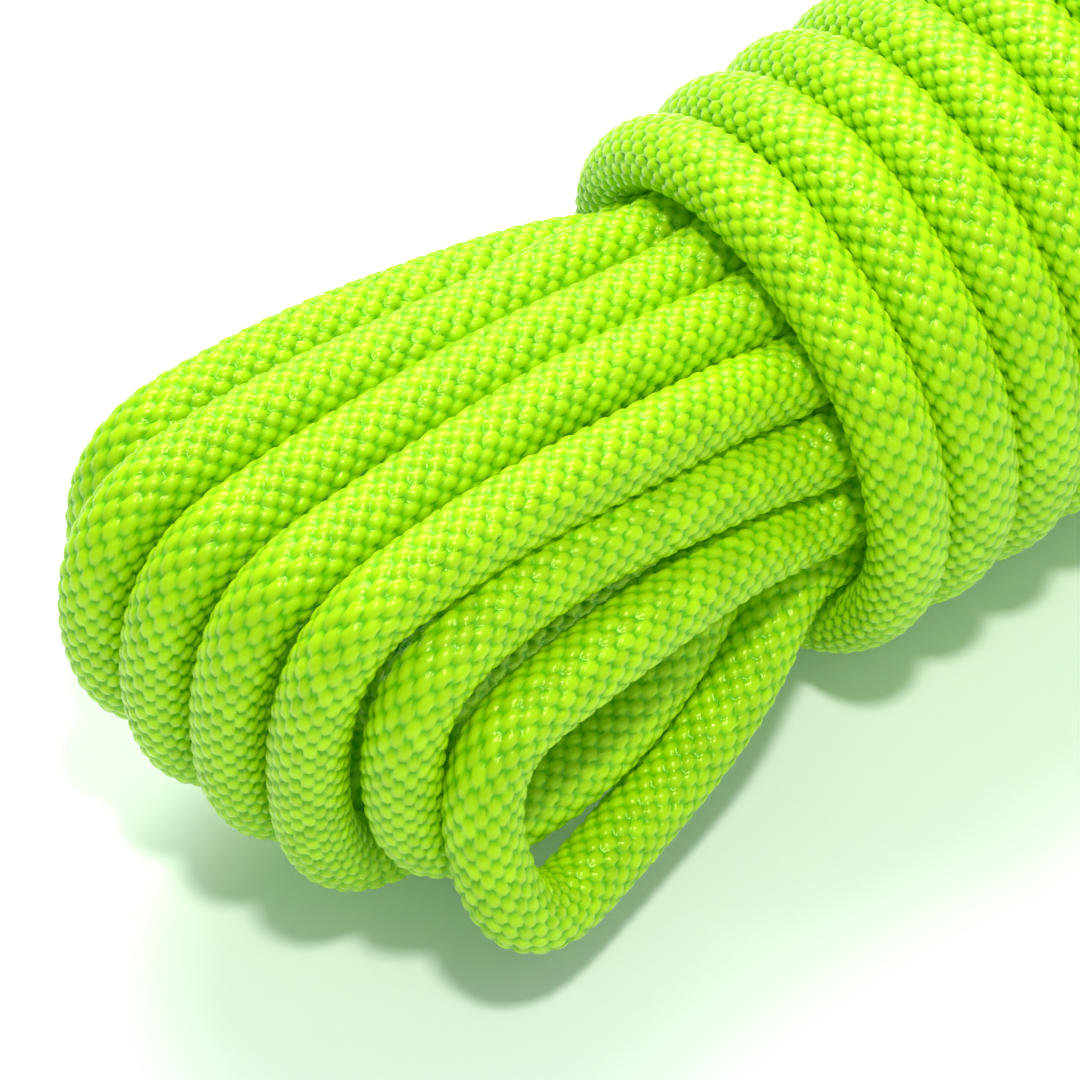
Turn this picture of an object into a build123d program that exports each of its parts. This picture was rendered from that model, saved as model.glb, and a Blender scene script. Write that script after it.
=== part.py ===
"""A hank of 4 mm braided kernmantle cord, about 5 m long, made up flat and whipped with its own end.

One rope. It starts among the rear folds, runs to and fro ten times under the whipping, comes
forward once more as the lead, wraps the bundle from front to rear and ends in a tail tucked
through the eye of the rear folds. Units are millimetres, +X runs from the front folds to the
rear folds, +Z is up.
"""
from build123d import *
import math
import os

# ---- rope ----------------------------------------------------------------------------------
ROPE_D = 4.0             # over the sheath
SHEATH_BORE = 2.9        # inside of the sheath
STRAND_D = 0.94          # one core strand
STRAND_PITCH = 0.96      # centre strand to its six neighbours
TIP_LENGTH = 2.0         # heat-sealed end, melted solid
TIP_ROUND = 0.8

# ---- made-up hank --------------------------------------------------------------------------
OUTER_SLOTS = 14         # runs in the outer layer of the bundle
OUTER_RADIUS = 9.12      # their distance from the hank's axis
OUTER_START = 28.0       # direction of the first, degrees from +Y towards +Z
INNER_RADIUS = 4.62      # six runs round one in the middle
INNER_START = 30.0
WRAP_RADIUS = 13.18      # whipping, on the rope's centre
WRAP_PITCH = 4.5
WRAP_TURNS = 20          # whole turns; the finish adds the last part of one
WRAP_STEPS = 16          # corners in one turn of the route
WRAP_START_ANGLE = -40.0
WRAP_START_X = -2.9
RUN_FRONT = -5.0         # the straight runs lie between these two planes
RUN_REAR = 91.5
LEAD_FRONT = 1.0         # the lead leaves the bundle here
RUN_LEVEL = 3.0          # the route is already straight this far inside them
NOSE_BASE = 4.4          # straight part of a fold's limb before its nose ...
NOSE_RATE = 0.22         # ... grows with the fold's reach
START_TAIL = 7.0         # the first end, past the rear plane
TAIL_OPEN = 12.0         # cut-open length of each end: sheath and strands, before the tip
AXIS_HEIGHT = 15.20      # axis of the hank above the ground
SHIFT_X = -44.5          # puts the origin under the middle of the hank
SHIFT_Y = -1.84


def outer(i):
    """Centre (y, z) of run i of the bundle's outer layer."""
    a = math.radians(OUTER_START + i * 360 / OUTER_SLOTS)
    return (OUTER_RADIUS * math.cos(a), OUTER_RADIUS * math.sin(a))


def inner(i):
    """Centre (y, z) of run i of the inner layer."""
    a = math.radians(INNER_START + i * 60)
    return (INNER_RADIUS * math.cos(a), INNER_RADIUS * math.sin(a))


MIDDLE = (0.0, 0.0)
LEAD = outer(13)

# One turn: run forward, front fold, run back.
#   fold values: reach from the first wrap, nose y, height of the upper limb, nose y of the
#   lower limb and its height.
TURNS = [
    # forward, back, front (reach, y, top, y low, low)
    (inner(0), inner(5), (19.0, 4.2, 4.4, 4.2, -3.8)),
    (MIDDLE, inner(4), (18.0, 0.0, 1.4, 0.0, -6.6)),
    (inner(1), inner(2), (19.0, -0.6, 5.8, -5.0, -0.4)),
    (outer(6), outer(7), (22.0, -12.2, 2.1, -15.4, -10.4)),
    (outer(5), inner(3), (25.0, -10.8, 7.6, -10.4, -7.8)),
    (outer(4), outer(8), (28.0, -8.0, 12.2, -6.6, -12.2)),
    (outer(3), outer(9), (29.5, -2.5, 11.5, -2.2, -13.0)),
    (outer(2), outer(10), (30.5, 1.7, 10.7, 2.0, -11.7)),
    (outer(1), outer(11), (31.5, 6.2, 10.3, 6.1, -9.4)),
    (outer(0), outer(12), (28.0, 11.3, 8.0, 10.3, -6.6)),
]
# The rear fold after each turn, same values, reach from the rear plane.
REAR = [
    (11.5, -0.6, 1.2, 4.6, -4.0),
    (16.0, -0.4, 5.6, -0.2, -5.8),
    (15.5, -4.6, 4.4, -9.6, -0.2),
    (26.0, -13.4, 6.4, -14.0, -10.0),
    (28.5, -9.3, 8.8, -9.6, -7.0),
    (31.0, -5.3, 10.2, -6.4, -13.1),
    (33.0, -1.1, 11.2, -1.1, -12.5),
    (34.0, 3.2, 10.4, 3.4, -13.1),
    (32.5, 7.5, 7.4, 7.5, -10.4),
    (30.0, 11.8, 3.4, 11.8, -6.4),
]


def mix(a, b, t):
    return a + (b - a) * t


def fold(a, b, values, plane, way):
    """Corners of one fold: out of run a, round the nose and back into run b."""
    reach, y_top, top, y_low, low = values
    neck = reach - NOSE_BASE - NOSE_RATE * reach
    tip = plane + way * reach
    return [
        (plane + way * 0.42 * neck, mix(a[0], y_top, 0.35), mix(a[1], top, 0.70)),
        (plane + way * neck, mix(a[0], y_top, 0.80), top),
        (tip, y_top, mix(top, low, 0.04)),
        (tip, y_low, mix(low, top, 0.04)),
        (plane + way * 0.97 * neck, mix(b[0], y_low, 0.78), low),
        (plane + way * 0.40 * neck, mix(b[0], y_low, 0.36), mix(b[1], low, 0.50)),
    ]


def flip(values, a, b):
    """Limb values in the order the rope meets them: a fold that starts low takes the low limb first."""
    reach, y_top, top, y_low, low = values
    if a[1] < b[1]:
        return (reach, y_low, low, y_top, top)
    return values


def wrap_point(step):
    """Corner of the whipping's route, a given number of steps after its start."""
    turn = 360 / WRAP_STEPS
    rim = WRAP_RADIUS * 8 / (6 + 2 * math.cos(math.radians(turn)))
    a = math.radians(WRAP_START_ANGLE - turn * step)
    return (WRAP_START_X + WRAP_PITCH * step / WRAP_STEPS, rim * math.cos(a), rim * math.sin(a))


LEAD_IN = [
    (-4.6, 9.6, 0.6),
    (-7.2, 13.2, -1.0),
    (-6.4, 14.0, -6.0),
]
FINISH_STEPS = 6         # wrap corners after the last whole turn
FINISH = [
    (91.0, -15.0, 3.0),
    (99.0, -18.0, 2.5),
    (111.0, -18.5, 0.0),
    (112.0, -9.0, -1.1),
    (112.0, -4.0, -1.1),
    (112.0, 24.0, -1.1),
]


def route():
    """The rope's route in the hank's own axes: sections (name, corner points) in order."""
    start = TURNS[0][0]
    sections = [("start", [(RUN_REAR + START_TAIL, start[0], start[1])])]
    for n, (forward, back, values) in enumerate(TURNS):
        corners = [(RUN_FRONT + RUN_LEVEL, *forward), (RUN_FRONT, *forward)]
        corners += fold(forward, back, values, RUN_FRONT, -1)
        corners += [(RUN_FRONT, *back), (RUN_FRONT + RUN_LEVEL, *back)]
        sections.append((f"front_fold_{n + 1:02d}", corners))
        after = TURNS[n + 1][0] if n + 1 < len(TURNS) else LEAD
        corners = [(RUN_REAR - RUN_LEVEL, *back), (RUN_REAR, *back)]
        corners += fold(back, after, flip(REAR[n], back, after), RUN_REAR, 1)
        corners += [(RUN_REAR, *after), (RUN_REAR - RUN_LEVEL, *after)]
        sections.append((f"rear_fold_{n + 1:02d}", corners))
    sections.append(("lead_in", [(LEAD_FRONT + RUN_LEVEL, *LEAD), (LEAD_FRONT, *LEAD)] + LEAD_IN))
    for n in range(WRAP_TURNS):
        steps = range(n * WRAP_STEPS, (n + 1) * WRAP_STEPS)
        sections.append((f"wrap_{n + 1:02d}", [wrap_point(k) for k in steps]))
    last = WRAP_TURNS * WRAP_STEPS
    corners = [wrap_point(k) for k in range(last, last + FINISH_STEPS + 1)]
    sections.append(("finish", corners + FINISH))
    return sections


def level(p, q, t):
    """Point a fraction t of the way from p to q."""
    return tuple(mix(u, v, t) for u, v in zip(p, q))


# ==== solids ====================================================================================
def turn_at(before, here, after):
    """Change of direction at a corner, in radians."""
    u = Vector(*here) - Vector(*before)
    v = Vector(*after) - Vector(*here)
    return math.radians(u.get_angle(v))


def tube(corners, before, after, tightest):
    """Rope through the corners, from half way to the corner before to half way to the one after."""
    full = [before] + corners + [after]
    radii = []
    for a, b, c in zip(full, full[1:], full[2:]):
        half_turn = turn_at(a, b, c) / 2
        shorter = min(math.dist(a, b), math.dist(b, c))
        radii.append(0.45 * shorter / math.tan(half_turn))
    tightest.append(min(radii))
    ends = [level(before, corners[0], 0.5), level(corners[-1], after, 0.5)]
    path = FilletPolyline(ends[0], *corners, ends[1], radius=radii)
    section = Plane(origin=path @ 0, z_dir=path % 0) * Circle(ROPE_D / 2)
    return sweep(section, path=path), path.length


def rod(p, q, diameter):
    """Straight round bar from p to q."""
    axis = Vector(*q) - Vector(*p)
    return Solid.make_cylinder(diameter / 2, axis.length, Plane(origin=p, z_dir=axis))


def rope_end(p, q):
    """Last piece of the rope from p out to its tip q: sheath, seven strands, sealed tip."""
    axis = (Vector(*q) - Vector(*p)).normalized()
    neck = Vector(*q) - axis * TIP_LENGTH
    sheath = rod(p, neck, ROPE_D) - rod(p, neck, SHEATH_BORE)
    plane = Plane(origin=p, z_dir=axis)
    strands = [rod(p, neck, STRAND_D)]
    for k in range(6):
        a = math.radians(60 * k)
        side = plane.x_dir * math.cos(a) + plane.y_dir * math.sin(a)
        offset = side * STRAND_PITCH
        strands.append(rod(Vector(*p) + offset, neck + offset, STRAND_D))
    tip = rod(neck, q, ROPE_D)
    rim = tip.edges().sort_by_distance(q)[:1]
    return sheath, strands, fillet(rim, TIP_ROUND)


os.makedirs("parts", exist_ok=True)
place = Location((SHIFT_X, SHIFT_Y, AXIS_HEIGHT))
nodes = {}
lengths = {}
tight = {}
sections = route()

for n, (name, corners) in enumerate(sections):
    if name == "start":
        continue
    if name == "lead_in" or "fold" in name:
        before, corners = corners[0], corners[1:]
    else:
        before = sections[n - 1][1][-1]
    if "fold" in name:
        after, corners = corners[-1], corners[:-1]
    elif name == "finish":
        after = corners[-1]
        corners = corners[:-2]
        stop = level(after, corners[-1], (TIP_LENGTH + TAIL_OPEN) / math.dist(after, corners[-1]))
        after = level(corners[-1], stop, 2.0)
    else:
        after = sections[n + 1][1][0]
    radii = []
    nodes[name], lengths[name] = tube(corners, before, after, radii)
    tight[name] = min(radii)

# Straight runs under the whipping.
front = RUN_FRONT + RUN_LEVEL / 2
rear = RUN_REAR - RUN_LEVEL / 2
tip_x = RUN_REAR + START_TAIL
open_x = tip_x - TIP_LENGTH - TAIL_OPEN
start = TURNS[0][0]
spans = [(start, front, open_x), (LEAD, LEAD_FRONT + RUN_LEVEL / 2, rear)]
for n, (forward, back, values) in enumerate(TURNS):
    if n:
        spans.append((forward, front, rear))
    spans.append((back, front, rear))
nodes["straight_runs"] = Compound([rod((a, *yz), (b, *yz), ROPE_D) for yz, a, b in spans])
lengths["straight_runs"] = sum(b - a for yz, a, b in spans)

# The two ends, in their true construction.
finish_tip = sections[-1][1][-1]
ends = {"start": ((open_x, *start), (tip_x, *start)), "finish": (stop, finish_tip)}
for name, (p, q) in ends.items():
    sheath, strands, tip = rope_end(p, q)
    nodes[f"{name}_sheath"] = sheath
    nodes[f"{name}_core"] = Compound(strands)
    nodes[f"{name}_tip"] = tip
    lengths[f"{name}_end"] = math.dist(p, q)

box = Compound([place * shape for shape in nodes.values()]).bounding_box()
for name, shape in nodes.items():
    export_step(place * shape, f"parts/{name}.step")
for name, radius in tight.items():
    print(f"{name}: tightest radius {radius:.2f} mm, length {lengths[name]:.1f} mm")
area = math.pi * ROPE_D ** 2 / 4
for name in tight:
    print(f"{name}: volume / (section x length) = {nodes[name].volume / (area * lengths[name]):.4f}")
print(f"rope length {sum(lengths.values()) / 1000:.3f} m, {len(nodes)} nodes")
print("box", box.min, box.max)
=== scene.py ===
"""Looks of the hank: a 4 mm kernmantle cord, its braided sheath modelled over seven strands.

The route is the CAD part's, except that the front folds' corners are up to 6 mm from there.
It is in the hank's own axes (millimetres, x = 0 where the first wrap crosses the top). Everything
else is in metres in the row frame.
"""

import math

import bpy
import numpy as np
from mathutils import Matrix, Vector


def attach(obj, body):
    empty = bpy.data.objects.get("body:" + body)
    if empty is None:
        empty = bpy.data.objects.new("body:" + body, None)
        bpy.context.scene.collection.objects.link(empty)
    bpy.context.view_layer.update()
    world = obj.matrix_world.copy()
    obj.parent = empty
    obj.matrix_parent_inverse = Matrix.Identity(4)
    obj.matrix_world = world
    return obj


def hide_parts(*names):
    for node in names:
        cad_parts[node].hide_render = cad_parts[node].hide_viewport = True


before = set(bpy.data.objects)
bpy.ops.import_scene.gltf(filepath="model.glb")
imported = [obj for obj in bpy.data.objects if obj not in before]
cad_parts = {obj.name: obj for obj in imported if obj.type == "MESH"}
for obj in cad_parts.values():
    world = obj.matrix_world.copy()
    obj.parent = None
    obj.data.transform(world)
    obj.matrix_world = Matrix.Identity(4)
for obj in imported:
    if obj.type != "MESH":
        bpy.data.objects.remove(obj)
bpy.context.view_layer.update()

MM = 0.001

# ---- rope ----------------------------------------------------------------------------------
ROPE_D = 4.0
SHEATH_BORE = 2.9
SHEATH_FACE = 1.76       # radius of the sheath's under side, below the yarns on top
STRAND_D = 0.94
STRAND_PITCH = 0.96
STRAND_LAY = 22.0        # one turn of the core strands about each other
STRANDS = 7              # one with six laid round it
TIP_LENGTH = 2.0         # the melted ends
TIP_RADIUS = 1.97
TIP_LAP = 0.2            # how far the sheath runs over a melted end
COLUMNS = 20             # stitch columns round the sheath
STITCH = 1.15            # pitch of the stitches along a column
VALLEY = 1.77            # rope radius between the yarns
CROWN = 0.26             # height of a stitch above it
STITCH_WIDE = 0.385      # half sizes of one stitch
STITCH_LONG = 0.50
STITCH_SQUARE = 2.4      # 2 is a plain dome, more gives a flatter top and squarer corners
STITCH_STRAY = 0.07      # how far a stitch strays along its column
STITCH_UNEVEN = 0.16     # and how much the stitches differ in height
STITCH_ROUND = 0.46      # less gives a stitch steeper sides
PLAIN_RELIEF = 0.8       # height of the coarse mesh, which has no stitches
FINEST = 4               # mesh cells across a yarn, in the front folds and first wraps
FINE = 3                 # elsewhere in sight
COARSE = 1               # and deep under the whipping
HIDDEN_STEP = 2.0        # between the rings of the core and the lining

# ---- made-up hank, as in the CAD part --------------------------------------------------------
OUTER_SLOTS = 14
OUTER_RADIUS = 9.12
OUTER_START = 28.0
INNER_RADIUS = 4.62
INNER_START = 30.0
WRAP_RADIUS = 13.18
WRAP_PITCH = 4.5
WRAP_TURNS = 20
WRAP_STEPS = 16
WRAP_START_ANGLE = -40.0
WRAP_START_X = -2.9
RUN_FRONT = -5.0
RUN_REAR = 91.5
LEAD_FRONT = 1.0
RUN_LEVEL = 3.0
NOSE_BASE = 4.4
NOSE_RATE = 0.22
START_TAIL = 7.0
AXIS_HEIGHT = 15.20
SHIFT_X = -44.5
SHIFT_Y = -1.84

# The wraps are pulled tight: flattened against the bundle until they touch each other.
WRAP_HALF_WIDTH = 2.24
WRAP_HALF_THICKNESS = 1.82
WRAP_SINK = 0.2
FLATTEN_LEAD = 6         # the rope begins to flatten this far before the first wrap
FLATTEN_IN = 9           # and is flat after this much more
FLATTEN_AFTER = 24       # it is round again this far after the last wrap
FLATTEN_OUT = 12         # having begun this much before

# ---- camera, as a fit gave it ----------------------------------------------------------------
VIEW_TURN = 34.39        # the view direction, degrees from +Y towards +X
VIEW_DOWN = 50.93
VIEW_ROLL = -4.91
VIEW_DISTANCE = 262.7
VIEW_RIGHT = -11.17      # aim, from the first wrap on the hank's axis
VIEW_UP = -8.18
LENS = 171.7


# ============================================================================================
# The rope's route
# ============================================================================================
def outer(i):
    """Centre (y, z) of run i of the bundle's outer layer."""
    a = math.radians(OUTER_START + i * 360 / OUTER_SLOTS)
    return (OUTER_RADIUS * math.cos(a), OUTER_RADIUS * math.sin(a))


def inner(i):
    """Centre (y, z) of run i of the inner layer."""
    a = math.radians(INNER_START + i * 60)
    return (INNER_RADIUS * math.cos(a), INNER_RADIUS * math.sin(a))


MIDDLE = (0.0, 0.0)
LEAD = outer(13)
TURNS = [
    # forward, back, front fold (reach, y, top, y low, low); a fit gave the last seven folds
    (inner(0), inner(5), (23.0, 4.2, 4.4, 4.2, -3.0)),
    (MIDDLE, inner(4), (23.5, 0.0, 2.0, 0.0, -4.0)),
    (inner(1), inner(2), (23.0, -0.6, 6.0, -5.0, -0.4)),
    (outer(6), outer(7), (22.9, -11.8, 4.4, -14.7, -9.4)),
    (outer(5), inner(3), (24.9, -9.7, 9.1, -9.1, -6.6)),
    (outer(4), outer(8), (28.0, -7.2, 12.5, -4.6, -10.4)),
    (outer(3), outer(9), (29.4, -2.6, 11.8, -0.7, -8.9)),
    (outer(2), outer(10), (30.3, 2.1, 11.2, 3.6, -7.9)),
    (outer(1), outer(11), (30.8, 6.9, 10.8, 7.3, -5.8)),
    (outer(0), outer(12), (27.6, 11.2, 9.3, 10.9, -5.1)),
]
# Corners of the front folds moved a little, sideways and upwards. A fit gave these. Fold 5's corner
# 3 was then added, and its corners 6 and 7 and fold 10's corner 1 were changed.
NUDGES = {
    ("front_fold_04", 1): (0.5, 0.3),
    ("front_fold_04", 6): (1.0, 0.4),
    ("front_fold_04", 7): (-0.3, 0.2),
    ("front_fold_05", 1): (0.8, 0.5),
    ("front_fold_05", 2): (0.3, -0.3),
    ("front_fold_05", 3): (0.9, 0.0),
    ("front_fold_05", 6): (-2.0, 0.7),
    ("front_fold_05", 7): (-2.2, 1.1),
    ("front_fold_06", 1): (0.3, 1.0),
    ("front_fold_06", 2): (-0.6, 0.2),
    ("front_fold_07", 1): (0.3, 0.4),
    ("front_fold_07", 2): (0.3, 0.2),
    ("front_fold_09", 1): (0.7, 0.8),
    ("front_fold_09", 2): (-0.3, -0.2),
    ("front_fold_10", 1): (1.0, 1.5),
    ("front_fold_10", 2): (0.2, 0.3),
}
REAR = [
    (11.5, -0.6, 1.2, 4.6, -4.0),
    (16.0, -0.4, 5.6, -0.2, -5.8),
    (15.5, -4.6, 4.4, -9.6, -0.2),
    (26.0, -13.4, 6.4, -14.0, -10.0),
    (28.5, -9.3, 8.8, -9.6, -7.0),
    (31.0, -5.3, 10.2, -6.4, -13.1),
    (33.0, -1.1, 11.2, -1.1, -12.5),
    (34.0, 3.2, 10.4, 3.4, -13.1),
    (32.5, 7.5, 7.4, 7.5, -10.4),
    (30.0, 11.8, 3.4, 11.8, -6.4),
]
LEAD_IN = [
    (-4.6, 9.6, 0.6),
    (-7.2, 13.2, -1.0),
    (-6.4, 14.0, -6.0),
]
FINISH_STEPS = 6
FINISH = [
    (91.0, -15.0, 3.0),
    (99.0, -18.0, 2.5),
    (111.0, -18.5, 0.0),
    (112.0, -9.0, -1.1),
    (112.0, -4.0, -1.1),
    (112.0, 24.0, -1.1),
]


def mix(a, b, t):
    return a + (b - a) * t


def fold(a, b, values, plane, way):
    """Corners of one fold: out of run a, round the nose and back into run b.

    The shares are how far each corner has gone from the run's place to the nose's.
    """
    reach, y_top, top, y_low, low = values
    neck = reach - NOSE_BASE - NOSE_RATE * reach
    tip = plane + way * reach
    return [
        (plane + way * 0.42 * neck, mix(a[0], y_top, 0.35), mix(a[1], top, 0.70)),
        (plane + way * neck, mix(a[0], y_top, 0.80), top),
        (tip, y_top, mix(top, low, 0.04)),
        (tip, y_low, mix(low, top, 0.04)),
        (plane + way * 0.97 * neck, mix(b[0], y_low, 0.78), low),
        (plane + way * 0.40 * neck, mix(b[0], y_low, 0.36), mix(b[1], low, 0.50)),
    ]


def flip(values, a, b):
    """A fold that starts low takes its low limb first."""
    reach, y_top, top, y_low, low = values
    if a[1] < b[1]:
        return (reach, y_low, low, y_top, top)
    return values


def wrap_point(step):
    """Corner of the whipping's route, a given number of steps after its start."""
    turn = 360 / WRAP_STEPS
    # The spline passes inside its corners, so they stand out for it to lie at WRAP_RADIUS.
    rim = WRAP_RADIUS * 8 / (6 + 2 * math.cos(math.radians(turn)))
    a = math.radians(WRAP_START_ANGLE - turn * step)
    return (WRAP_START_X + WRAP_PITCH * step / WRAP_STEPS, rim * math.cos(a), rim * math.sin(a))


def route():
    """Sections (name, corner points) of the rope in order."""
    start = TURNS[0][0]
    sections = [("start", [(RUN_REAR + START_TAIL, start[0], start[1])])]
    for n, (forward, back, values) in enumerate(TURNS):
        corners = [(RUN_FRONT + RUN_LEVEL, *forward), (RUN_FRONT, *forward)]
        corners += fold(forward, back, values, RUN_FRONT, -1)
        corners += [(RUN_FRONT, *back), (RUN_FRONT + RUN_LEVEL, *back)]
        sections.append((f"front_fold_{n + 1:02d}", corners))
        after = TURNS[n + 1][0] if n + 1 < len(TURNS) else LEAD
        corners = [(RUN_REAR - RUN_LEVEL, *back), (RUN_REAR, *back)]
        corners += fold(back, after, flip(REAR[n], back, after), RUN_REAR, 1)
        corners += [(RUN_REAR, *after), (RUN_REAR - RUN_LEVEL, *after)]
        sections.append((f"rear_fold_{n + 1:02d}", corners))
    sections.append(("lead_in", [(LEAD_FRONT + RUN_LEVEL, *LEAD), (LEAD_FRONT, *LEAD)] + LEAD_IN))
    for n in range(WRAP_TURNS):
        steps = range(n * WRAP_STEPS, (n + 1) * WRAP_STEPS)
        sections.append((f"wrap_{n + 1:02d}", [wrap_point(k) for k in steps]))
    last = WRAP_TURNS * WRAP_STEPS
    corners = [wrap_point(k) for k in range(last, last + FINISH_STEPS + 1)]
    sections.append(("finish", corners + FINISH))
    return sections


def spline_line(points):
    """The smooth line of a NURBS spline with these control points."""
    data = bpy.data.curves.new("route", "CURVE")
    data.dimensions = "3D"
    data.resolution_u = 24
    spline = data.splines.new("NURBS")
    spline.points.add(len(points) - 1)
    for point, place in zip(spline.points, points):
        point.co = (*place, 1.0)
    spline.order_u = 3
    spline.use_endpoint_u = True
    obj = bpy.data.objects.new("route", data)
    mesh = bpy.data.meshes.new_from_object(obj)
    line = np.array([v.co for v in mesh.vertices], float)
    bpy.data.objects.remove(obj)
    bpy.data.meshes.remove(mesh)
    return line


SHIFT = np.array([SHIFT_X, SHIFT_Y, AXIS_HEIGHT])
sections = route()
corners_of = dict(sections)
for (name, corner), (sideways, upwards) in NUDGES.items():
    x, y, z = corners_of[name][corner]
    corners_of[name][corner] = (x, y + sideways, z + upwards)
control = [(np.array(p) + SHIFT) * MM for name, corners in sections for p in corners]
line = spline_line(control)
along = np.concatenate([[0], np.cumsum(np.linalg.norm(np.diff(line, axis=0), axis=1))])
LENGTH = float(along[-1])


def along_at(corner):
    """Place along the rope of the spline's line at a corner's number."""
    share = max(0.0, corner) / (len(control) - 2)
    return float(np.interp(share * (len(line) - 1), np.arange(len(line)), along))


# Where each section starts along the rope, and where its last run does: a corner's own stretch
# of the spline begins half a step before it.
starts = {}
run_end = {}
count = 0
for name, corners in sections:
    starts[name] = along_at(count - 0.5)
    count += len(corners)
    run_end[name] = along_at(count - 1.5)


# ============================================================================================
# Frames along the rope
# ============================================================================================
STEP = 0.35 * MM
marks = np.linspace(0, LENGTH, round(LENGTH / STEP) + 1)
centres = np.stack([np.interp(marks, along, line[:, k]) for k in range(3)], axis=1)


def unit(v):
    return v / np.maximum(np.linalg.norm(v, axis=-1, keepdims=True), 1e-12)


def smooth(v, passes):
    for _ in range(passes):
        v = np.concatenate([v[:1], (v[:-2] + 2 * v[1:-1] + v[2:]) / 4, v[-1:]])
    return v


def ease(x):
    x = np.clip(x, 0, 1)
    return x * x * (3 - 2 * x)


tangents = unit(smooth(np.gradient(centres, axis=0), 3))
normals = np.zeros_like(centres)
normals[0] = (0, 0, 1)
for i in range(1, len(centres)):
    n = normals[i - 1] - tangents[i] * (normals[i - 1] @ tangents[i])
    normals[i] = n / np.linalg.norm(n)

# In the whipping: how far it is flattened, and the direction of its flat side.
whip_on = starts["wrap_01"] - FLATTEN_LEAD * MM
whip_off = starts["finish"] + FLATTEN_AFTER * MM
flatness = ease((marks - whip_on) / (FLATTEN_IN * MM))
flatness = flatness * ease((whip_off - marks) / (FLATTEN_OUT * MM))
broad = unit(np.array([1.0, 0, 0]) - tangents * tangents[:, :1])
outward = np.cross(broad, tangents)
radial = centres - np.array([0, SHIFT_Y * MM, AXIS_HEIGHT * MM])
radial[:, 0] = 0
outward *= np.sign((outward * radial).sum(1, keepdims=True) + 1e-12)
centres = centres - outward * (WRAP_SINK * MM * flatness)[:, None]


def at(table, s):
    """Rows of a table given at the marks, read at other places along the rope."""
    if table.ndim == 1:
        return np.interp(s, marks, table)
    return np.stack([np.interp(s, marks, table[:, k]) for k in range(table.shape[1])], axis=1)


def ring_frame(s):
    """Centre, two cross directions and the flattened shape at places s."""
    t = unit(at(tangents, s))
    n = at(normals, s)
    n = unit(n - t * (n * t).sum(1, keepdims=True))
    return at(centres, s), n, np.cross(t, n), unit(at(broad, s)), unit(at(outward, s)), at(flatness, s)


def skin(s, angle, radius):
    """Points on the rope's surface: rings at s, directions angle and distances radius."""
    centre, n, b, wide, out, flat = ring_frame(s)
    d = np.cos(angle)[..., None] * n[:, None] + np.sin(angle)[..., None] * b[:, None]
    to_wide = (d * wide[:, None]).sum(-1, keepdims=True) * wide[:, None]
    to_out = (d * out[:, None]).sum(-1, keepdims=True) * out[:, None]
    half = ROPE_D / 2
    pressed = to_wide * (WRAP_HALF_WIDTH / half) + to_out * (WRAP_HALF_THICKNESS / half)
    d = d + (pressed - d) * flat[:, None, None]
    return centre[:, None] + d * radius[..., None]


# ============================================================================================
# Meshes
# ============================================================================================
def add_mesh(name, points, faces, material, corner_uv=None, face_tone=None, relief=None):
    """A piece made of quads that rides on the hank."""
    mesh = bpy.data.meshes.new(name)
    mesh.vertices.add(len(points))
    mesh.vertices.foreach_set("co", points.astype(np.float32).ravel())
    mesh.loops.add(faces.size)
    mesh.loops.foreach_set("vertex_index", faces.astype(np.int32).ravel())
    mesh.polygons.add(len(faces))
    mesh.polygons.foreach_set("loop_start", np.arange(len(faces), dtype=np.int32) * 4)
    mesh.polygons.foreach_set("use_smooth", np.ones(len(faces), bool))
    mesh.update(calc_edges=True)
    if corner_uv is not None:
        layer = mesh.uv_layers.new(name="yarn")
        layer.data.foreach_set("uv", corner_uv.astype(np.float32).ravel())
    if face_tone is not None:
        layer = mesh.attributes.new("tone", "FLOAT", "FACE")
        layer.data.foreach_set("value", face_tone.astype(np.float32))
    # The stitch height, which the yarn material also reads for its painted shade in the grooves.
    if relief is not None:
        layer = mesh.attributes.new("relief", "FLOAT", "POINT")
        layer.data.foreach_set("value", relief.astype(np.float32))
    mesh.materials.append(material)
    obj = bpy.data.objects.new(name, mesh)
    bpy.context.scene.collection.objects.link(obj)
    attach(obj, "root")
    return obj


def scatter(i, j, seed):
    """A steady random number from 0 to 1 for each pair of whole numbers."""
    x = np.sin(i * 12.9898 + j * 78.233 + seed) * 43758.5453
    return x - np.floor(x)


HALF_COLUMN = math.pi * ROPE_D / (2 * COLUMNS)
HALF_PITCH = STITCH / 2
LEAN = math.hypot(HALF_COLUMN, HALF_PITCH)


def on_yarn(x, y, way):
    """A step round and along the rope, as a step across and along a yarn of one hand."""
    a = (x * HALF_PITCH - y * HALF_COLUMN * way) / LEAN
    b = (x * HALF_COLUMN + y * HALF_PITCH * way) / LEAN
    return a, b


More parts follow.
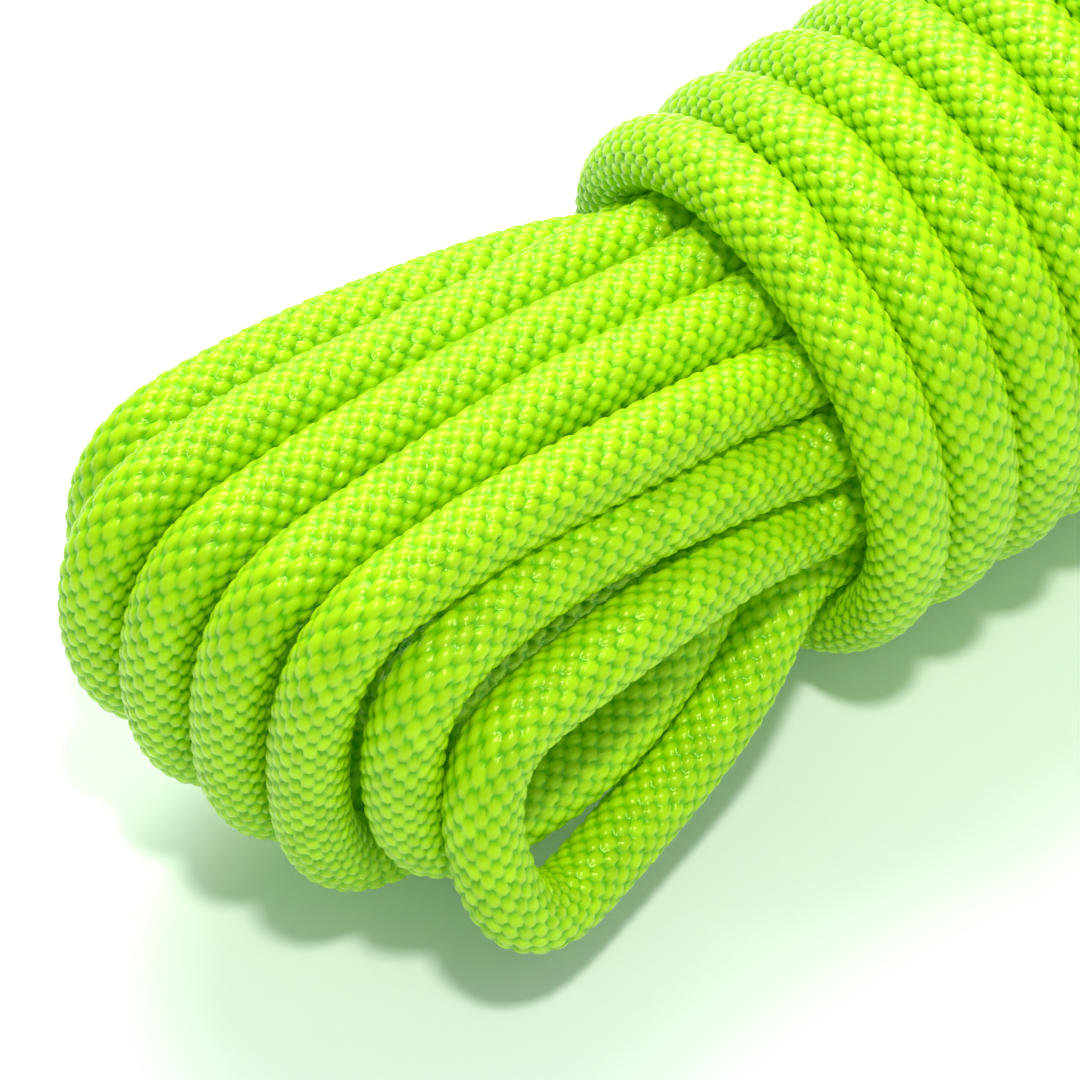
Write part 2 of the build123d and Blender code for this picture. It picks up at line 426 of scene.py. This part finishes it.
def stitches(c, d):
    """The sheath's stitches at places c round the rope (40 to a turn) and d along it (2 to a pitch).

    Yarns go over two and under two, so the stitches of one hand show in every other column, each
    a rounded square that leans its own way. Gives the height there, the place on the stitch across
    and along its yarn, and a number that tells the stitches apart.
    """
    best = np.full(np.broadcast(c, d).shape, -9.0)
    across = np.zeros_like(best)
    length = np.zeros_like(best)
    number = np.zeros_like(best)
    for hand, way in ((0, -1), (1, 1)):
        column = 1.5 + 2 * hand + 4 * np.round((c - 1.5 - 2 * hand) / 4)
        nearest = 1.5 - hand + 2 * np.round((d - 1.5 + hand) / 2)
        for shift in (-2, 0, 2):
            row = nearest + shift
            name = scatter(np.mod(column, 2 * COLUMNS), row, 3.0)
            x = (c - column) * HALF_COLUMN
            y = (d - row) * HALF_PITCH + STITCH_STRAY * (name - 0.5)
            a, b = on_yarn(x, y, way)
            height = 1 - np.abs(a / STITCH_WIDE) ** STITCH_SQUARE
            height = height - np.abs(b / STITCH_LONG) ** STITCH_SQUARE
            height = height + STITCH_UNEVEN * (name - 0.5)
            top = height > best
            best = np.where(top, height, best)
            across = np.where(top, a, across)
            length = np.where(top, b, length)
            number = np.where(top, name, number)
    return np.clip(best, 0, 1.2), across, length, number


def braid(s0, s1, k):
    """The sheath from s0 to s1: a diamond grid whose lines run with its yarns, k cells to a yarn."""
    row_step = STITCH * MM / (2 * k)
    rows = np.arange(round(s0 / row_step), round(s1 / row_step) + 2)
    around = COLUMNS * k
    d = rows[:, None]
    c = 2 * np.arange(around)[None] + (d % 2)
    relief = np.full(c.shape, PLAIN_RELIEF)
    if k > 1:
        relief = stitches(c / k, d / k)[0] ** STITCH_ROUND
    s = rows * row_step
    radius = (VALLEY + CROWN * relief) * MM
    # The braid isn't laid quite true: its columns wander round the rope.
    wander = 0.35 * np.sin(s / 0.047) + 0.25 * np.sin(s / 0.019 + 1.3)
    angle = c * (math.pi / around) + wander[:, None]
    points = skin(s, angle, radius)

    r = np.arange(len(rows) - 2)[:, None]
    m = np.arange(around)[None]
    odd = (rows[:-2, None] % 2).astype(int)
    right = (r + 1) * around + (m + odd) % around
    left = (r + 1) * around + (m - 1 + odd) % around
    faces = np.stack([r * around + m, right, (r + 2) * around + m, left], axis=-1).reshape(-1, 4)

    # Each cell's place on the stitch it belongs to, for the filaments and the colour.
    c0 = c[:-2] / k
    d0 = d[:-2] / k
    across, length, number = stitches(c0, d0 + 1 / k)[1:]
    # The hand of a stitch shows in its column: odd halves lean one way and even ones the other.
    way = np.where(np.mod(np.floor(c0 / 2 - 0.25 + 1e-6), 2) < 1, -1, 1)
    corners = []
    for dc, dd in ((0, -1), (1, 0), (0, 1), (-1, 0)):
        a, b = on_yarn(dc / k * HALF_COLUMN, dd / k * HALF_PITCH, way)
        corners.append(np.stack([across + a + 3 * number, length + b + 7 * number], axis=-1))
    uv = np.stack(corners, axis=2).reshape(-1, 2)
    return points.reshape(-1, 3), faces, uv, number.reshape(-1), relief.reshape(-1)


def joined(parts):
    """Several braid stretches as one set of arrays."""
    offset = 0
    faces = []
    for part in parts:
        faces.append(part[1] + offset)
        offset += len(part[0])
    rest = [np.concatenate([part[n] for part in parts]) for n in (0, 2, 3, 4)]
    return (rest[0], np.concatenate(faces), *rest[1:])


def lining():
    """The sheath's under side: a plain closed tube between the core and the yarns on top."""
    sides = 12
    inset = 0.8 * MM
    s = np.linspace(inset, LENGTH - inset, round(LENGTH / (HIDDEN_STEP * MM)))
    angle = np.broadcast_to(2 * math.pi * np.arange(sides) / sides, (len(s), sides))
    layers = [skin(s, angle, np.full(angle.shape, r * MM)) for r in (SHEATH_FACE, SHEATH_BORE / 2)]
    layers[1] = layers[1][::-1]
    points = np.concatenate(layers + [layers[0][:1]])
    r = np.arange(len(points) - 1)[:, None] * sides
    k = np.arange(sides)[None]
    k2 = (k + 1) % sides
    faces = np.stack([r + k, r + k2, r + k2 + sides, r + k + sides], axis=-1)
    return points.reshape(-1, 3), faces.reshape(-1, 4)


def strands():
    """The core: one strand with six laid round it, the whole length of the rope."""
    inset = 0.5 * MM
    s = np.linspace(0, LENGTH - inset, round(LENGTH / (HIDDEN_STEP * MM)))
    centre, n, b = ring_frame(s)[:3]
    sides = 5
    turn = 2 * math.pi * s / (STRAND_LAY * MM)
    points = []
    for number in range(STRANDS):
        reach = 0 if number == 0 else STRAND_PITCH * MM
        a = turn + 2 * math.pi * number / (STRANDS - 1)
        middle = centre + reach * (np.cos(a)[:, None] * n + np.sin(a)[:, None] * b)
        for k in range(sides):
            e = 2 * math.pi * k / sides
            points.append(middle + STRAND_D / 2 * MM * (math.cos(e) * n + math.sin(e) * b))
    points = np.stack(points, axis=1)
    ring = STRANDS * sides
    r = np.arange(len(s) - 1)[:, None, None] * ring
    g = np.arange(STRANDS)[None, :, None] * sides
    k = np.arange(sides)[None, None]
    k2 = (k + 1) % sides
    faces = np.stack([r + g + k, r + g + k2, r + g + k2 + ring, r + g + k + ring], axis=-1)
    return points.reshape(-1, 3), faces.reshape(-1, 4)


def sealed_end(s_neck, way):
    """A melted end: the rope's last two millimetres run together into a smooth, uneven dome."""
    rings = 14
    sides = 40
    t = np.linspace(0, 1, rings)
    s = np.clip(s_neck + way * (t * TIP_LENGTH - 0.4) * MM, 0, LENGTH)
    angle = np.broadcast_to(2 * math.pi * np.arange(sides) / sides, (rings, sides))
    # Straight for its first 45 hundredths, then it rounds in; three and five lumps make it uneven.
    dome = np.sqrt(np.clip(1 - np.clip((t - 0.45) / 0.55, 0, 1) ** 2.2, 0, 1))
    lumps = 1 + 0.035 * np.sin(3 * angle + 1.0) + 0.03 * np.sin(5 * angle + 7 * t[:, None])
    radius = np.maximum(dome[:, None] * lumps * TIP_RADIUS, 0.02) * MM
    centre, n, b = ring_frame(s)[:3]
    d = np.cos(angle)[..., None] * n[:, None] + np.sin(angle)[..., None] * b[:, None]
    points = centre[:, None] + d * radius[..., None]
    r = np.arange(rings - 1)[:, None]
    k = np.arange(sides)[None]
    k2 = (k + 1) % sides
    quads = [r * sides + k, r * sides + k2, (r + 1) * sides + k2, (r + 1) * sides + k]
    if way < 0:
        quads.reverse()
    return points.reshape(-1, 3), np.stack(quads, axis=-1).reshape(-1, 4)


# ============================================================================================
# Materials
# ============================================================================================
def new_material(name):
    material = bpy.data.materials.new(name)
    material.use_nodes = True
    tree = material.node_tree
    return material, tree, tree.nodes["Principled BSDF"]


def node(tree, kind, **inputs):
    made = tree.nodes.new(kind)
    for key, value in inputs.items():
        if key in made.inputs:
            made.inputs[key].default_value = value
        else:
            setattr(made, key, value)
    return made


def two_colours(tree, factor, low, high):
    """A ramp from one colour to another, driven by a factor."""
    ramp = node(tree, "ShaderNodeValToRGB")
    ramp.color_ramp.elements[0].color = (*low, 1)
    ramp.color_ramp.elements[1].color = (*high, 1)
    tree.links.new(factor, ramp.inputs["Fac"])
    return ramp


def sheath_material():
    """Neon nylon yarns: fine filaments along each yarn, slight differences from yarn to yarn, painted
    shade in the grooves between the stitches and a faint painted glow.
    """
    material, tree, shader = new_material("neon_nylon")
    link = tree.links.new
    uv = node(tree, "ShaderNodeUVMap", uv_map="yarn")
    stretch = node(tree, "ShaderNodeMapping", Scale=(14.0, 1.4, 1.0))
    link(uv.outputs["UV"], stretch.inputs["Vector"])
    filaments = node(tree, "ShaderNodeTexNoise", Scale=1.6, Detail=3.0, Roughness=0.6)
    link(stretch.outputs["Vector"], filaments.inputs["Vector"])
    bump = node(tree, "ShaderNodeBump", Strength=0.22, Distance=0.00005)
    link(filaments.outputs["Fac"], bump.inputs["Height"])
    link(bump.outputs["Normal"], shader.inputs["Normal"])

    tone = node(tree, "ShaderNodeAttribute", attribute_name="tone")
    relief = node(tree, "ShaderNodeAttribute", attribute_name="relief")
    # Painted shade: dark green in the grooves between the stitches, where shade falls, up to the
    # yarns' own lime on their crowns.
    ramp = two_colours(tree, relief.outputs["Fac"], (0.12, 0.50, 0.0001), (0.43, 0.69, 0.003))
    ramp.color_ramp.elements[0].position = 0.05
    ramp.color_ramp.elements[1].position = 0.85
    dye_and_groove_shade = node(tree, "ShaderNodeHueSaturation")
    shade = node(tree, "ShaderNodeMapRange")
    shade.inputs["To Min"].default_value = 0.90
    shade.inputs["To Max"].default_value = 1.06
    link(tone.outputs["Fac"], shade.inputs["Value"])
    link(shade.outputs["Result"], dye_and_groove_shade.inputs["Value"])
    link(ramp.outputs["Color"], dye_and_groove_shade.inputs["Color"])
    link(dye_and_groove_shade.outputs["Color"], shader.inputs["Base Color"])
    shader.inputs["Roughness"].default_value = 0.22
    shader.inputs["Specular IOR Level"].default_value = 0.6
    shader.inputs["Specular Tint"].default_value = (0.85, 1.0, 0.30, 1)
    # A faint green glow is painted into the yarns, which keeps their shadows green.
    shader.inputs["Emission Color"].default_value = (0.08, 0.70, 0.0, 1)
    shader.inputs["Emission Strength"].default_value = 0.04
    return material


def lining_material():
    """The yarns' under side, painted a darker green as the shade of the ones on top."""
    material, tree, shader = new_material("neon_nylon_under")
    link = tree.links.new
    place = node(tree, "ShaderNodeTexCoord")
    weave = node(tree, "ShaderNodeTexNoise", Scale=1100.0, Detail=2.0)
    link(place.outputs["Object"], weave.inputs["Vector"])
    ramp = two_colours(tree, weave.outputs["Fac"], (0.10, 0.40, 0.002), (0.22, 0.60, 0.004))
    link(ramp.outputs["Color"], shader.inputs["Base Color"])
    shader.inputs["Roughness"].default_value = 0.7
    shader.inputs["Specular IOR Level"].default_value = 0.1
    return material


def core_material():
    """Undyed nylon strands."""
    material, tree, shader = new_material("white_nylon")
    link = tree.links.new
    place = node(tree, "ShaderNodeTexCoord")
    grain = node(tree, "ShaderNodeTexNoise", Scale=900.0, Detail=2.0)
    link(place.outputs["Object"], grain.inputs["Vector"])
    ramp = two_colours(tree, grain.outputs["Fac"], (0.78, 0.80, 0.70), (0.92, 0.93, 0.88))
    link(ramp.outputs["Color"], shader.inputs["Base Color"])
    shader.inputs["Roughness"].default_value = 0.55
    return material


def sealed_material():
    """Melted nylon: darker and glossier than the yarns, in blotches."""
    material, tree, shader = new_material("sealed_nylon")
    link = tree.links.new
    place = node(tree, "ShaderNodeTexCoord")
    blotch = node(tree, "ShaderNodeTexNoise", Scale=900.0, Detail=4.0)
    link(place.outputs["Object"], blotch.inputs["Vector"])
    ramp = two_colours(tree, blotch.outputs["Fac"], (0.06, 0.16, 0.004), (0.24, 0.52, 0.012))
    link(ramp.outputs["Color"], shader.inputs["Base Color"])
    bump = node(tree, "ShaderNodeBump", Strength=0.4, Distance=0.0001)
    link(blotch.outputs["Fac"], bump.inputs["Height"])
    link(bump.outputs["Normal"], shader.inputs["Normal"])
    shader.inputs["Roughness"].default_value = 0.28
    return material


def floor_material():
    material, _, shader = new_material("pale_floor")
    shader.inputs["Base Color"].default_value = (0.89, 0.93, 0.935, 1)
    shader.inputs["Roughness"].default_value = 0.6
    shader.inputs["Specular IOR Level"].default_value = 0.2
    return material


# ============================================================================================
# Camera
# ============================================================================================
turn = math.radians(VIEW_TURN)
down = math.radians(VIEW_DOWN)
roll = math.radians(VIEW_ROLL)
flat_right = Vector((math.cos(turn), -math.sin(turn), 0))
flat_up = Vector((math.sin(turn) * math.sin(down), math.cos(turn) * math.sin(down), math.cos(down)))
ahead = Vector((math.sin(turn) * math.cos(down), math.cos(turn) * math.cos(down), -math.sin(down)))
right = flat_right * math.cos(roll) + flat_up * math.sin(roll)
up = flat_up * math.cos(roll) - flat_right * math.sin(roll)
aim = Vector(SHIFT * MM) + (right * VIEW_RIGHT + up * VIEW_UP) * MM

camera = bpy.data.objects.new("camera", bpy.data.cameras.new("camera"))
bpy.context.scene.collection.objects.link(camera)
camera.location = aim - ahead * VIEW_DISTANCE * MM
camera.rotation_mode = "QUATERNION"
basis = np.array([right, up, -ahead]).T
camera.rotation_quaternion = Matrix(basis.tolist()).to_quaternion()
camera.data.lens = LENS
camera.data.sensor_width = 36
camera.data.clip_start = 0.01
camera.data.clip_end = 10
bpy.context.scene.camera = camera


# ============================================================================================
# The rope
# ============================================================================================
neon = sheath_material()
white = core_material()
sealed = sealed_material()

names = [name for name, corners in sections]
DEEP = 8 * MM            # the fine mesh goes on this far under the whipping
START_SHOWN = 20 * MM    # the start end is in sight this far


def sheath_piece(name, parts, nodes):
    points, faces, uv, tone, relief = joined(parts)
    obj = add_mesh(name, points, faces, neon, uv, tone, relief)
    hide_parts(*nodes)


place_from = TIP_LENGTH * MM - TIP_LAP * MM
for n in range(1, len(TURNS) + 1):
    front = f"front_fold_{n:02d}"
    rear = f"rear_fold_{n:02d}"
    f0 = starts[front] - DEEP
    f1 = run_end[front] + DEEP
    r0 = starts[rear] - DEEP
    r1 = run_end[rear] + DEEP
    parts = []
    if n == 1:
        parts.append(braid(place_from, START_SHOWN, FINE))
        parts.append(braid(START_SHOWN, f0, COARSE))
    else:
        parts.append(braid(place_from, f0, COARSE))
    parts.append(braid(f0, f1, FINEST))
    parts.append(braid(f1, r0, COARSE))
    parts.append(braid(r0, r1, FINE))
    place_from = r1
    nodes = [front, rear, "straight_runs"]
    if n == 1:
        nodes.append("start_sheath")
    sheath_piece(f"sheath_turn_{n:02d}", parts, nodes)

BOTTOM_STEP = 50 / 360   # the wraps are parted where they rest on the ground
wrap_length = starts["wrap_02"] - starts["wrap_01"]
lead_front = starts["lead_in"] - DEEP
groups = [(1, 2), (3, 4), (5, 6), (7, 8), (9, 12), (13, 16), (17, 20)]
begin = lead_front
for first, last in groups:
    following = names[names.index(f"wrap_{last:02d}") + 1]
    end = starts[following] + BOTTOM_STEP * wrap_length
    nodes = [f"wrap_{n:02d}" for n in range(first, last + 1)]
    parts = []
    if first == 1:
        parts.append(braid(place_from, lead_front, COARSE))
        nodes.append("lead_in")
    parts.append(braid(begin, end, FINEST if last <= 8 else FINE))
    begin = end
    sheath_piece(f"sheath_wraps_{first:02d}_{last:02d}", parts, nodes)
tail_end = LENGTH - TIP_LENGTH * MM + TIP_LAP * MM
sheath_piece("sheath_tail", [braid(begin, tail_end, FINE)], ["finish", "finish_sheath"])

seals = (("start_seal", TIP_LENGTH * MM, -1), ("finish_seal", LENGTH - TIP_LENGTH * MM, 1))
for name, neck, way in seals:
    points, faces = sealed_end(neck, way)
    obj = add_mesh(name, points, faces, sealed)
    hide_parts(name.replace("seal", "tip"))

points, faces = strands()
core = add_mesh("rope_core", points, faces, white)
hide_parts("start_core", "finish_core")

points, faces = lining()
rope = add_mesh("sheath_lining", points, faces, lining_material())


# ============================================================================================
# Floor and light
# ============================================================================================
def floor():
    mesh = bpy.data.meshes.new("floor")
    half = 1.5
    corners = [(-half, -half, 0), (half, -half, 0), (half, half, 0), (-half, half, 0)]
    mesh.from_pydata(corners, [], [(0, 1, 2, 3)])
    mesh.materials.append(floor_material())
    obj = bpy.data.objects.new("floor", mesh)
    bpy.context.scene.collection.objects.link(obj)


def softbox(name, place, size, power, colour=(1, 1, 1)):
    """A square soft light that faces the hank."""
    data = bpy.data.lights.new(name, "AREA")
    data.size = size
    data.energy = power
    data.color = colour
    obj = bpy.data.objects.new(name, data)
    bpy.context.scene.collection.objects.link(obj)
    obj.location = place
    obj.rotation_mode = "QUATERNION"
    obj.rotation_quaternion = (Vector((0, 0, 0)) - obj.location).to_track_quat("-Z", "Y")


floor()
softbox("key", place=(0.18, 0.34, 0.52), size=0.40, power=4.3, colour=(0.98, 1.0, 0.90))
softbox("glint", place=(-0.10, -0.16, 0.55), size=0.05, power=1.65, colour=(1.0, 1.0, 0.90))
softbox("fill", place=(-0.10, -0.45, 0.42), size=0.5, power=0.5)
world = bpy.data.worlds.new("studio")
world.use_nodes = True
background = world.node_tree.nodes["Background"]
background.inputs["Color"].default_value = (0.72, 1.0, 0.85, 1)
background.inputs["Strength"].default_value = 0.43
bpy.context.scene.world = world
bpy.context.scene.view_settings.view_transform = "Standard"
